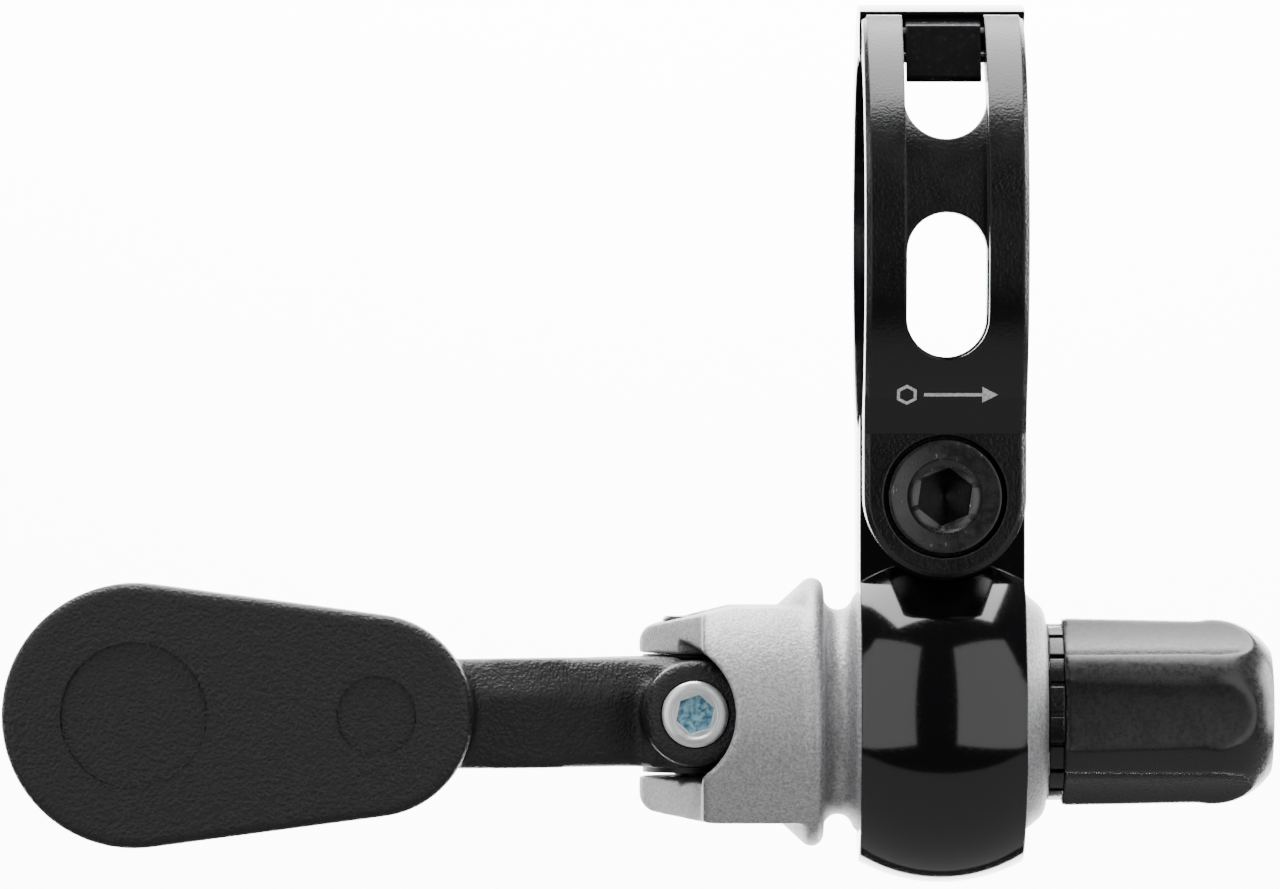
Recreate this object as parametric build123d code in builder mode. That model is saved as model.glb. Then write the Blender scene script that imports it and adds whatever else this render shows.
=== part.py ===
from build123d import *
import os
from math import cos, radians, sin, sqrt

# Thumb shifter for a bicycle dropper post: a hinged bar clamp with a ball socket, a ball-ended
# yoke, a thumb lever on a pivot axle and a cable adjuster. One STEP file per piece.
#
# X runs along the handlebar (+X towards the stem), -Y faces the rider, +Z is up, and the origin
# is the handlebar's axis at the middle of the clamp. Millimetres.

# ---------------------------------------------------------------- driving dimensions

# Fits
slip = 0.04            # radial play of a pin or screw in its hole
seat_gap = 0.05        # gap between clamped faces
side_play = 0.22       # play each side of the hinge tongue

# Handlebar clamp
bar_dia = 22.2
bar_fit = 0.05         # radial room over the bar
clamp_wall = 3.0
clamp_width = 9.75
strap_width = 9.5
lug_front_y = -9.5     # front face of the strap's lug
lug_rear_y = 7.4       # rear face of the frame's lug
parting_y = -4.4       # plane where strap and frame part
facet_top_z = -4.3     # the strap is cut flat from here down to its lug
facet_low_z = -11.4
lug_room = 0.3         # room between the lug's round end and the socket
edge_break = 0.3

# Windows and channel of the two clamp halves
channel_width = 4.85
channel_floor = 1.5    # wall left under the channel
window_width = 4.65
window_low, window_high = -6.9, 1.5
hook_window_low = 5.8
rear_window_width = 6.6
rear_low, rear_high = -7.8, 11.0
rear_corner = 1.2

# Hinge at the top of the clamp
hinge_pin_r = 0.8
tongue_recess = 0.4
tongue_end_z = 9.3
tongue_bevel = 0.35
tongue_cover = 0.35    # wall left in front of the pin
tongue_lean = 30.0     # the tongue's flat front leans back this far, in degrees
lip_back = 0.4         # at the hinge the frame stops this far behind the parting plane

# Clamp bolt, M4
bolt_below_bore = 3.9  # bolt's axis below the bar's bore
bolt_r = 2.0
bolt_head_r = 3.3
bolt_head_height = 2.9
bolt_head_sink = 0.2
bolt_hex = 3.0
bolt_hex_depth = 1.8
bolt_turn = 22.0       # how far the bolt stands turned, in degrees
bolt_length = 12.0
bore_gap = 0.32        # room round the bolt head
clearance_r = 2.25     # plain hole for the bolt

# Ball joint
ball_below_bolt = 12.85
ball_r = 8.65
socket_wall = 1.45
split_front, split_rear = -1.0, 0.6
ear_below_bore = 0.85

# Yoke on the ball's outboard side
ball_flat = 2.4        # depth cut off the ball to leave its end face
ball_edge_x = -5.2     # where the ball ends and the neck's groove begins
neck_x, neck_groove = -6.4, 0.79
flange_x, flange_r = -7.4, 7.95
flange_inner_x, flange_outer_x = -6.95, -8.2
flange_inner_drop, flange_outer_drop = 0.6, 0.2   # how far its rounded rim falls to each side
flange_root_x, flange_root_r = -9.9, 6.2
yoke_front_r = 7.85
yoke_left_x = -14.2
yoke_step_y = -4.2     # the ears start this far back, behind the front wall
yoke_top, yoke_bottom = 6.25, -6.5
yoke_corner = 1.0
ear_r = 3.6
ear_tip_top, ear_tip_bottom = 4.9, -6.0
ear_round = 1.1
slot_top, slot_bottom = 3.4, -4.0
slot_room = 0.4        # room between the hub and the slot's end
front_wall = 1.75      # thickness of the yoke's front wall
notch_x, notch_r = -16.6, 4.4

# Lever pivot
pivot_x, pivot_y = -14.3, 5.2
axle_r = 1.5
axle_head_r = 2.2
axle_head_z = 4.9      # underside of the head above the cable's axis
axle_head_height = 0.7
axle_hex = 2.0
axle_thread_r = 1.25
axle_end_z = -6.0
bush_wall = 0.5
bush_flange_r = 3.4
upper_flange, lower_flange = 0.35, 0.45
bush_length = 2.8

# Lever
arm_half = 3.25        # half height of the arm
hub_top, hub_bottom = 2.95, -3.3
hub_r = 3.2
boss_x, boss_r = -14.6, 3.1
boss_front_y = -5.2
boss_back_y = 2.2
paddle_tip_x, paddle_tip_r = -47.5, 7.78
paddle_root_x, paddle_root_r = -33.6, 5.95
paddle_front_y, paddle_thickness = -8.6, 3.3
paddle_edge = 1.1
dish_r, small_dish_r = 4.32, 2.35
small_dish_x = -33.3
dish_depth = 0.18
ridge_z = 1.1
upper_fall, lower_fall = 0.8, 1.1   # how far the arm's faces fall back from its ridge
arm_stations = [       # along the arm: X, front Y, back Y
    (-33.0, -7.0, -5.6),
    (-28.5, -6.4, -3.4),
    (-24.0, -5.0, -1.2),
    (-20.0, -3.2, 1.8),
    (-17.2, -2.2, 4.6),
]

# Cable pinch screw, M4
pinch_r = 2.0
pinch_length = 4.2
pinch_proud = 0.4
pinch_hex = 2.0
pinch_hex_depth = 2.0
pinch_turn = 20.0      # how far the screw stands turned, in degrees
cable_hole_r = 0.9

# Cable adjuster, M5
thread_r = 2.5
thread_length = 7.8
cable_bore_r = 1.1
collar_r = 5.25
collar_width = 0.85
collar_gap = 0.1
collar_notches = 18
notch_depth = 0.35
core_r = 3.9
core_end_x = 18.9
housing_r = 2.55
housing_depth = 7.0
cover_r = 5.58
cover_end_x = 19.7
cover_end_r = 3.6
cover_lip_r = 2.95
cover_dome = 4.35      # length of the cover's rounded end
dome_x_share, dome_r_share = 0.72, 0.62   # where the dome's curve passes, along and out
flutes = 6
flute_r = 6.5
flute_floor_r = 4.83
spring_wire = 0.6
spring_r = 3.35
spring_turns = 4
spring_well_r = 3.95
spring_well_depth = 3.9

# ---------------------------------------------------------------- derived places

bore_r = bar_dia / 2 + bar_fit
ring_r = bore_r + clamp_wall
mid_r = bore_r + clamp_wall / 2
knuckle_r = clamp_wall / 2
bolt_drop = bore_r + bolt_below_bore
ball_drop = bolt_drop + ball_below_bolt
ear_top_z = -bore_r - ear_below_bore
half_width = clamp_width / 2
half_strap = strap_width / 2
socket_r = ball_r + slip
socket_outer_r = socket_r + socket_wall
frame_parting_y = parting_y + seat_gap
hinge_y = parting_y
hinge_z = sqrt(mid_r**2 - hinge_y**2)
tongue_front = hinge_pin_r + tongue_cover
channel_r = bore_r + channel_floor
head_seat_y = lug_front_y + bolt_head_sink + bolt_head_height
cable_z = -ball_drop
ball_face_x = ball_r - ball_flat
ball_end_r = sqrt(ball_r**2 - ball_face_x**2)
ball_edge_r = sqrt(ball_r**2 - ball_edge_x**2)
neck_r = ball_edge_r - neck_groove
slot_end_x = pivot_x + max(hub_r, bush_flange_r) + slot_room
collar_x = ball_face_x + collar_gap

# Side view, seen along X: local x is Y, local y is Z
side = Plane.YZ
# Front view, seen along Y from the rider: local x is X, local y is Z
front = Plane(origin=(0, 0, 0), x_dir=(1, 0, 0), z_dir=(0, -1, 0))
# The same view with its origin on the cable's axis
cable_front = Plane(origin=(0, 0, cable_z), x_dir=(1, 0, 0), z_dir=(0, -1, 0))
# Along the cable, and down on the yoke
cable_side = Plane(origin=(0, 0, cable_z), x_dir=(0, 1, 0), z_dir=(1, 0, 0))
cable_top = Plane(origin=(0, 0, cable_z), x_dir=(1, 0, 0), z_dir=(0, 0, 1))
cable_axis = Axis((0, 0, cable_z), (1, 0, 0))


def write(part, name):
    """Labels one finished piece and writes its STEP file."""
    part.label = name
    export_step(part, f"parts/{name}.step")


def window(low, high, width, y_from, y_to):
    """The cutter for a round-ended window seen from the front, between two depths."""
    with BuildPart() as cutter:
        with BuildSketch(front.offset(-y_from)):
            with Locations((0, (low + high) / 2)):
                SlotOverall(high - low, width, rotation=90)
        extrude(amount=y_from - y_to)
    return cutter.part


def channel(low, y_side):
    """The cutter for the shallow channel down the outside of one clamp half."""
    reach = ring_r + 1
    with BuildPart() as cutter:
        with BuildSketch(front):
            with Locations((0, (low + reach) / 2)):
                SlotOverall(reach - low, channel_width, rotation=90)
        extrude(amount=-y_side * reach)
        with BuildSketch(side):
            Circle(channel_r)
        extrude(amount=channel_width, both=True, mode=Mode.SUBTRACT)
    return cutter.part


os.makedirs("parts", exist_ok=True)

# ---------------------------------------------------------------- clamp frame

# Rear half of the bar clamp, the split socket for the ball and the hinge tongue, in one piece.
with BuildPart() as clamp_frame:
    with BuildSketch(side):
        Circle(ring_r)
        with Locations((frame_parting_y - ring_r, 0)):
            Rectangle(2 * ring_r, 4 * ring_r, mode=Mode.SUBTRACT)
        # rear lug, down to the socket
        with Locations((split_rear, -ball_drop)):
            Rectangle(lug_rear_y - split_rear, ball_drop - ring_r / 2, align=(Align.MIN, Align.MIN))
    extrude(amount=half_width, both=True)
    # front ear of the socket
    with BuildSketch(side):
        with Locations((frame_parting_y, -ball_drop)):
            Rectangle(
                split_front - frame_parting_y, ball_drop + ear_top_z, align=(Align.MIN, Align.MIN)
            )
    extrude(amount=half_width, both=True)
    with BuildPart(mode=Mode.PRIVATE) as socket_ring:
        with Locations((0, 0, -ball_drop)):
            Sphere(socket_outer_r)
            Box(clamp_width, 4 * ball_r, 4 * ball_r, mode=Mode.INTERSECT)
        # the seat for the strap's lug
        with BuildSketch(front.offset(-frame_parting_y)):
            with Locations((0, -bolt_drop)):
                Circle(half_strap + lug_room)
                Rectangle(2 * clamp_width, ring_r, align=(Align.CENTER, Align.MIN))
        extrude(amount=ring_r, mode=Mode.SUBTRACT)
    add(socket_ring.part)
    # round seat for the strap's knuckles, with a short lip over them
    with BuildSketch(side):
        with Locations((hinge_y, hinge_z)):
            Circle(knuckle_r + seat_gap)
        with Locations((parting_y + lip_back, 0)):
            Rectangle(ring_r, ring_r, align=(Align.MAX, Align.MIN))
    extrude(amount=half_width, both=True, mode=Mode.SUBTRACT)
    # the hinge tongue, between the strap's rails, with a flat front that leans back
    with BuildPart(mode=Mode.PRIVATE) as tongue:
        with BuildSketch(side):
            Circle(ring_r - tongue_recess)
            with Locations((hinge_y, tongue_end_z)):
                Rectangle(
                    ring_r, ring_r, align=(Align.CENTER, Align.MIN), mode=Mode.INTERSECT
                )
            with Locations((hinge_y + 2 * knuckle_r, 0)):
                Rectangle(2 * ring_r, 2 * ring_r, align=(Align.MIN, Align.MIN), mode=Mode.SUBTRACT)
            with Locations((
                hinge_y - tongue_front * cos(radians(tongue_lean)),
                hinge_z + tongue_front * sin(radians(tongue_lean)),
            )):
                Rectangle(
                    ring_r, 2 * ring_r, align=(Align.MIN, Align.CENTER),
                    rotation=180 - tongue_lean, mode=Mode.SUBTRACT,
                )
        extrude(amount=channel_width / 2 - side_play, both=True)
        bevelled = tongue.edges().filter_by(Axis.X).group_by(Axis.Z)[0].sort_by(Axis.Y)[0]
        chamfer(bevelled, tongue_bevel)
    add(tongue.part)
    # the bar's bore, the ball's seat and the split
    with BuildSketch(side):
        Circle(bore_r)
    extrude(amount=clamp_width, both=True, mode=Mode.SUBTRACT)
    with Locations((0, 0, -ball_drop)):
        Sphere(socket_r, mode=Mode.SUBTRACT)
    with BuildSketch(side):
        with Locations((split_front, -ball_drop)):
            Rectangle(split_rear - split_front, ball_drop, align=(Align.MIN, Align.MIN))
    extrude(amount=clamp_width, both=True, mode=Mode.SUBTRACT)
    with BuildSketch(front):
        with Locations((0, (rear_low + rear_high) / 2)):
            RectangleRounded(rear_window_width, rear_high - rear_low, rear_corner)
    extrude(amount=-ring_r, mode=Mode.SUBTRACT)
    # bolt holes: plain in the ear, threaded size in the rear lug
    with Locations(front.offset(-lug_front_y) * Location((0, -bolt_drop, 0))):
        Cylinder(
            clearance_r, split_rear - lug_front_y, align=(Align.CENTER, Align.CENTER, Align.MAX),
            mode=Mode.SUBTRACT,
        )
        Cylinder(
            bolt_r + slip, -3 * lug_front_y, align=(Align.CENTER, Align.CENTER, Align.MAX),
            mode=Mode.SUBTRACT,
        )
    # hinge pin hole through the tongue
    with Locations(side * Location((hinge_y, hinge_z, 0))):
        Cylinder(hinge_pin_r, clamp_width, mode=Mode.SUBTRACT)
write(clamp_frame.part, "clamp_frame")

# ---------------------------------------------------------------- front strap

with BuildPart() as front_strap:
    with BuildSketch(side):
        Circle(ring_r)
        with Locations((parting_y, 0)):
            Rectangle(2 * ring_r, 2 * ring_r, align=(Align.MIN, Align.MAX), mode=Mode.SUBTRACT)
        # everything past the hinge comes off, and the knuckle rounds the end
        with BuildLine():
            Polyline(
                (0, 0), (3 * hinge_y, 3 * hinge_z), (ring_r, 3 * hinge_z), (ring_r, 0), close=True
            )
        make_face(mode=Mode.SUBTRACT)
        # lug, with the flat that leads down to it
        with BuildLine():
            Polyline(
                (-sqrt(ring_r**2 - facet_top_z**2), facet_top_z), (lug_front_y, facet_low_z),
                (lug_front_y, -bolt_drop - half_strap), (parting_y, -bolt_drop - half_strap),
                (parting_y, facet_top_z), close=True,
            )
        make_face()
        with Locations((hinge_y, hinge_z)):
            Circle(knuckle_r)
        Circle(bore_r, mode=Mode.SUBTRACT)
    extrude(amount=half_strap, both=True)
    # round end of the lug, seen from the front
    with BuildSketch(front):
        with Locations((0, -bolt_drop)):
            Rectangle(strap_width, 3 * ring_r, align=(Align.CENTER, Align.MIN))
            Circle(half_strap)
    extrude(amount=2 * ring_r, both=True, mode=Mode.INTERSECT)
    rims = front_strap.faces().filter_by(Axis.X).sort_by(Axis.X)
    chamfer((rims[0].edges() + rims[-1].edges()).filter_by(lambda e: e.length > 2), edge_break)
    add(window(window_low, window_high, window_width, 0, -ring_r - 1), mode=Mode.SUBTRACT)
    add(window(hook_window_low, 2 * ring_r, channel_width, 0, -ring_r - 1), mode=Mode.SUBTRACT)
    add(channel(window_low - edge_break / 2, -1), mode=Mode.SUBTRACT)
    with Locations(front.offset(-lug_front_y) * Location((0, -bolt_drop, 0))):
        CounterBoreHole(clearance_r, bolt_head_r + bore_gap, bolt_head_sink + bolt_head_height)
    with Locations(side * Location((hinge_y, hinge_z, 0))):
        Cylinder(hinge_pin_r + slip, 2 * clamp_width, mode=Mode.SUBTRACT)
write(front_strap.part, "front_strap")

with BuildPart() as hinge_pin:
    with Locations(side * Location((hinge_y, hinge_z, 0))):
        Cylinder(hinge_pin_r, strap_width - 2 * edge_break)
    chamfer(hinge_pin.edges().filter_by(GeomType.CIRCLE), edge_break / 2)
write(hinge_pin.part, "hinge_pin")

# ---------------------------------------------------------------- clamp bolt

with BuildPart() as clamp_bolt:
    with Locations(front.offset(-head_seat_y) * Location((0, -bolt_drop, 0))):
        Cylinder(bolt_head_r, bolt_head_height, align=(Align.CENTER, Align.CENTER, Align.MIN))
        Cylinder(bolt_r, bolt_length, align=(Align.CENTER, Align.CENTER, Align.MAX))
    ends = clamp_bolt.edges().filter_by(GeomType.CIRCLE).group_by(Axis.Y)
    chamfer(ends[0], edge_break)
    chamfer(ends[-1], edge_break)
    with BuildSketch(front.offset(bolt_head_height - head_seat_y)):
        with Locations((0, -bolt_drop)):
            RegularPolygon(bolt_hex / 2, 6, major_radius=False, rotation=bolt_turn)
    extrude(amount=-bolt_hex_depth, mode=Mode.SUBTRACT)
write(clamp_bolt.part, "clamp_bolt")

# ---------------------------------------------------------------- ball and yoke

with BuildPart() as ball_yoke:
    # ball, neck and flange are turned about the cable's axis
    with BuildSketch(cable_front):
        with BuildLine():
            Line((flange_root_x, 0), (ball_face_x, 0))
            Line((ball_face_x, 0), (ball_face_x, ball_end_r))
            RadiusArc((ball_face_x, ball_end_r), (ball_edge_x, ball_edge_r), -ball_r)
            ThreePointArc(
                (ball_edge_x, ball_edge_r), (neck_x, neck_r),
                (flange_inner_x, neck_r + (neck_x - flange_inner_x)),
            )
            Line(
                (flange_inner_x, neck_r + (neck_x - flange_inner_x)),
                (flange_inner_x, flange_r - flange_inner_drop),
            )
            ThreePointArc(
                (flange_inner_x, flange_r - flange_inner_drop), (flange_x, flange_r),
                (flange_outer_x, flange_r - flange_outer_drop),
            )
            Polyline(
                (flange_outer_x, flange_r - flange_outer_drop), (flange_root_x, flange_root_r),
                (flange_root_x, 0),
            )
        make_face()
    revolve(axis=cable_axis)
    chamfer(ball_yoke.edges().filter_by(GeomType.CIRCLE).sort_by(Axis.X)[-1], edge_break)
    # the yoke is the common part of its three views
    with BuildPart(mode=Mode.PRIVATE) as yoke:
        with BuildSketch(cable_top.offset(yoke_bottom)):
            with Locations((pivot_x, pivot_y)):
                Circle(ear_r)
            with Locations((flange_x, yoke_step_y)):
                Rectangle(
                    flange_x - yoke_left_x, yoke_front_r - yoke_step_y, align=(Align.MAX, Align.MIN)
                )
            make_hull()
        extrude(amount=yoke_top - yoke_bottom)
        with BuildSketch(cable_top.offset(yoke_bottom)):
            with Locations((flange_x, -yoke_front_r)):
                Rectangle(
                    flange_x - yoke_left_x, yoke_front_r, align=(Align.MAX, Align.MIN)
                )
        extrude(amount=yoke_top - yoke_bottom)
        outer_corner = yoke.edges().filter_by(Axis.Z).group_by(Axis.Y)[0].sort_by(Axis.X)[0]
        fillet(outer_corner, yoke_corner)
        with BuildSketch(cable_side.offset(flange_x)):
            Circle(yoke_front_r)
            Rectangle(
                pivot_y + ear_r, 2 * yoke_front_r, align=(Align.MIN, Align.CENTER)
            )
        extrude(amount=pivot_x - ear_r - flange_x, mode=Mode.INTERSECT)
        with BuildSketch(cable_front.offset(-pivot_y - ear_r)):
            tip_x = pivot_x - ear_r
            with BuildLine():
                FilletPolyline(
                    (flange_x, yoke_bottom), (flange_x, yoke_top), (pivot_x + ear_r / 2, yoke_top),
                    (tip_x, ear_tip_top), (tip_x, ear_tip_bottom),
                    (pivot_x + ear_r / 4, yoke_bottom),
                    radius=[1e-3, 1e-3, ear_round, ear_round, ear_round, ear_round], close=True,
                )
            make_face()
        extrude(amount=pivot_y + ear_r + yoke_front_r, mode=Mode.INTERSECT)
    add(yoke.part)
    # the slot for the lever, behind the front wall, and the notch in that wall
    with BuildSketch(cable_front.offset(yoke_front_r - front_wall)):
        with Locations((slot_end_x, slot_bottom)):
            Rectangle(2 * ear_r + ball_r, slot_top - slot_bottom, align=(Align.MAX, Align.MIN))
    extrude(amount=-2 * yoke_front_r - ear_r, mode=Mode.SUBTRACT)
    with BuildSketch(cable_front.offset(yoke_front_r + 1)):
        with Locations((notch_x, 0)):
            Circle(notch_r)
            Rectangle(2 * ear_r, 2 * notch_r, align=(Align.MAX, Align.CENTER))
    extrude(amount=-yoke_front_r, mode=Mode.SUBTRACT)
    # cable bore, adjuster thread and spring well
    with Locations(cable_side.offset(ball_face_x)):
        Cylinder(
            cable_bore_r, 3 * ball_r, align=(Align.CENTER, Align.CENTER, Align.MAX),
            mode=Mode.SUBTRACT,
        )
        Cylinder(
            thread_r + slip, thread_length + 1, align=(Align.CENTER, Align.CENTER, Align.MAX),
            mode=Mode.SUBTRACT,
        )
        Cylinder(
            spring_well_r, spring_well_depth, align=(Align.CENTER, Align.CENTER, Align.MAX),
            mode=Mode.SUBTRACT,
        )
    # axle holes: plain with a spotface above, threaded size below
    with Locations(cable_top * Location((pivot_x, pivot_y, 0))):
        Cylinder(
            axle_r + slip / 2, yoke_top, align=(Align.CENTER, Align.CENTER, Align.MIN),
            mode=Mode.SUBTRACT,
        )
        Cylinder(
            axle_thread_r + slip, -2 * yoke_bottom, mode=Mode.SUBTRACT,
        )
    with Locations(cable_top.offset(axle_head_z) * Location((pivot_x, pivot_y, 0))):
        Cylinder(
            axle_head_r + slip, yoke_top, align=(Align.CENTER, Align.CENTER, Align.MIN),
            mode=Mode.SUBTRACT,
        )
write(ball_yoke.part, "ball_yoke")

# ---------------------------------------------------------------- pivot axle and bushes

with BuildPart() as pivot_axle:
    with Locations(cable_top.offset(axle_head_z) * Location((pivot_x, pivot_y, 0))):
        Cylinder(axle_head_r, axle_head_height, align=(Align.CENTER, Align.CENTER, Align.MIN))
        Cylinder(
            axle_r, axle_head_z - slot_bottom, align=(Align.CENTER, Align.CENTER, Align.MAX)
        )
        Cylinder(
            axle_thread_r, axle_head_z - axle_end_z,
            align=(Align.CENTER, Align.CENTER, Align.MAX),
        )
    rims = pivot_axle.edges().filter_by(GeomType.CIRCLE).group_by(Axis.Z)
    chamfer(rims[-1], edge_break / 2)
    chamfer(rims[0], edge_break / 2)
    with BuildSketch(cable_top.offset(axle_head_z + axle_head_height)):
        with Locations((pivot_x, pivot_y)):
            RegularPolygon(axle_hex / 2, 6, major_radius=False)
    extrude(amount=-2 * axle_head_height, mode=Mode.SUBTRACT)
write(pivot_axle.part, "pivot_axle")

for name, face_z, way, flange in (
    ("upper_bush", hub_top, 1, upper_flange), ("lower_bush", hub_bottom, -1, lower_flange)
):
    # a flanged bush: the flange keeps the hub off the yoke's ear
    with BuildPart() as bush:
        with BuildSketch(cable_top.offset(face_z)):
            with Locations((pivot_x, pivot_y)):
                Circle(bush_flange_r)
                Circle(axle_r + slip, mode=Mode.SUBTRACT)
        extrude(amount=way * flange)
        with BuildSketch(cable_top.offset(face_z)):
            with Locations((pivot_x, pivot_y)):
                Circle(axle_r + bush_wall)
                Circle(axle_r + slip, mode=Mode.SUBTRACT)
        extrude(amount=-way * bush_length)
    write(bush.part, name)

# ---------------------------------------------------------------- lever

with BuildPart() as lever:
    # hub, boss and the block between them
    with Locations(cable_top.offset(hub_bottom) * Location((pivot_x, pivot_y, 0))):
        Cylinder(hub_r, hub_top - hub_bottom, align=(Align.CENTER, Align.CENTER, Align.MIN))
    with Locations(cable_front.offset(-boss_back_y) * Location((boss_x, 0, 0))):
        Cylinder(
            boss_r, boss_back_y - boss_front_y, align=(Align.CENTER, Align.CENTER, Align.MIN)
        )
    with BuildSketch(cable_top.offset(hub_bottom)):
        with BuildLine():
            Polyline(
                (boss_x - boss_r, arm_stations[-1][1]), (boss_x + boss_r, arm_stations[-1][1]),
                (pivot_x + hub_r, pivot_y), (pivot_x - hub_r, pivot_y), close=True,
            )
        make_face()
    extrude(amount=hub_top - hub_bottom)
    # arm: five-sided sections with a ridge along the front
    with BuildPart(mode=Mode.PRIVATE) as arm:
        for x, face_y, back_y in arm_stations:
            with BuildSketch(cable_side.offset(x)):
                with BuildLine():
                    Polyline(
                        (face_y, ridge_z), (face_y + upper_fall, arm_half), (back_y, arm_half),
                        (back_y, -arm_half), (face_y + lower_fall, -arm_half), close=True,
                    )
                make_face()
        loft(ruled=True)
    add(arm.part)
    # paddle: the hull of two discs, with rounded rims and two shallow dishes
    with BuildPart(mode=Mode.PRIVATE) as paddle:
        with BuildSketch(cable_front.offset(-paddle_front_y)):
            with Locations((paddle_tip_x, 0)):
                Circle(paddle_tip_r)
            with Locations((paddle_root_x, 0)):
                Circle(paddle_root_r)
            make_hull()
        extrude(amount=-paddle_thickness)
        fillet(paddle.edges().filter_by(Axis.Y, reverse=True), paddle_edge)
        with BuildSketch(cable_front.offset(-paddle_front_y)):
            with Locations((paddle_tip_x, 0)):
                Circle(dish_r)
            with Locations((small_dish_x, 0)):
                Circle(small_dish_r)
        extrude(amount=-dish_depth, mode=Mode.SUBTRACT)
    add(paddle.part)
    # room for the bushes' flanges
    with Locations(cable_top.offset(hub_top) * Location((pivot_x, pivot_y, 0))):
        Cylinder(
            bush_flange_r + edge_break, arm_half, align=(Align.CENTER, Align.CENTER, Align.MIN),
            mode=Mode.SUBTRACT,
        )
    with Locations(cable_top.offset(hub_bottom) * Location((pivot_x, pivot_y, 0))):
        Cylinder(
            bush_flange_r + edge_break, arm_half, align=(Align.CENTER, Align.CENTER, Align.MAX),
            mode=Mode.SUBTRACT,
        )
    # bush bore, pinch thread and cable hole
    with Locations(cable_top * Location((pivot_x, pivot_y, 0))):
        Cylinder(axle_r + bush_wall, 3 * arm_half, mode=Mode.SUBTRACT)
    with Locations(cable_front.offset(-cable_hole_r) * Location((boss_x, 0, 0))):
        Cylinder(
            pinch_r + slip, 2 * ball_r, align=(Align.CENTER, Align.CENTER, Align.MIN),
            mode=Mode.SUBTRACT,
        )
    with Locations(cable_side.offset(boss_x)):
        Cylinder(cable_hole_r, 2.1 * boss_r, mode=Mode.SUBTRACT)
write(lever.part, "lever")

with BuildPart() as pinch_screw:
    with Locations(cable_front.offset(pinch_proud - boss_front_y) * Location((boss_x, 0, 0))):
        Cylinder(pinch_r, pinch_length, align=(Align.CENTER, Align.CENTER, Align.MAX))
    chamfer(pinch_screw.edges().filter_by(GeomType.CIRCLE), edge_break)
    with BuildSketch(cable_front.offset(pinch_proud - boss_front_y)):
        with Locations((boss_x, 0)):
            RegularPolygon(pinch_hex / 2, 6, major_radius=False, rotation=pinch_turn)
    extrude(amount=-pinch_hex_depth, mode=Mode.SUBTRACT)
write(pinch_screw.part, "pinch_screw")

# ---------------------------------------------------------------- cable adjuster

with BuildPart() as adjuster_barrel:
    with Locations(cable_side.offset(collar_x)):
        Cylinder(thread_r, thread_length, align=(Align.CENTER, Align.CENTER, Align.MAX))
        Cylinder(collar_r, collar_width, align=(Align.CENTER, Align.CENTER, Align.MIN))
        Cylinder(core_r, core_end_x - collar_x, align=(Align.CENTER, Align.CENTER, Align.MIN))
        Cylinder(
            cable_bore_r, 2 * (thread_length + core_end_x), mode=Mode.SUBTRACT,
        )
    with Locations(cable_side.offset(core_end_x)):
        Cylinder(
            housing_r, housing_depth, align=(Align.CENTER, Align.CENTER, Align.MAX),
            mode=Mode.SUBTRACT,
        )
    with BuildSketch(cable_side.offset(collar_x)):
        with PolarLocations(collar_r, collar_notches):
            Rectangle(2 * notch_depth, notch_depth)
    extrude(amount=collar_width, mode=Mode.SUBTRACT)
write(adjuster_barrel.part, "adjuster_barrel")

with BuildPart() as adjuster_cover:
    cover_x = collar_x + collar_width
    dome_x = cover_end_x - cover_dome
    dome_mid = (
        dome_x + cover_dome * dome_x_share, cover_end_r + (cover_r - cover_end_r) * dome_r_share
    )
    with BuildSketch(cable_front):
        with BuildLine():
            Line((cover_x, core_r), (cover_x, cover_r))
            Line((cover_x, cover_r), (dome_x, cover_r - edge_break / 2))
            ThreePointArc((dome_x, cover_r - edge_break / 2), dome_mid, (cover_end_x, cover_end_r))
            Polyline(
                (cover_end_x, cover_end_r), (cover_end_x, cover_lip_r), (core_end_x, cover_lip_r),
                (core_end_x, core_r), (cover_x, core_r),
            )
        make_face()
    revolve(axis=cable_axis)
    # concave flutes for the fingers
    with BuildSketch(cable_side.offset(cover_x)):
        with PolarLocations(flute_floor_r + flute_r, flutes):
            Circle(flute_r)
    extrude(amount=cover_end_x - cover_x, mode=Mode.SUBTRACT)
write(adjuster_cover.part, "adjuster_cover")

with BuildPart() as adjuster_spring:
    well_x = ball_face_x - spring_well_depth
    free_x = well_x + spring_wire / 2 + slip
    coil_length = collar_x - slip - spring_wire / 2 - free_x
    with BuildLine() as coil:
        Helix(
            coil_length / spring_turns, coil_length, spring_r, center=(free_x, 0, cable_z),
            direction=(1, 0, 0),
        )
    with BuildSketch(Plane(origin=coil.line @ 0, z_dir=coil.line % 0)):
        Circle(spring_wire / 2)
    sweep(is_frenet=True)
write(adjuster_spring.part, "adjuster_spring")
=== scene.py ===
import math

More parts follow.
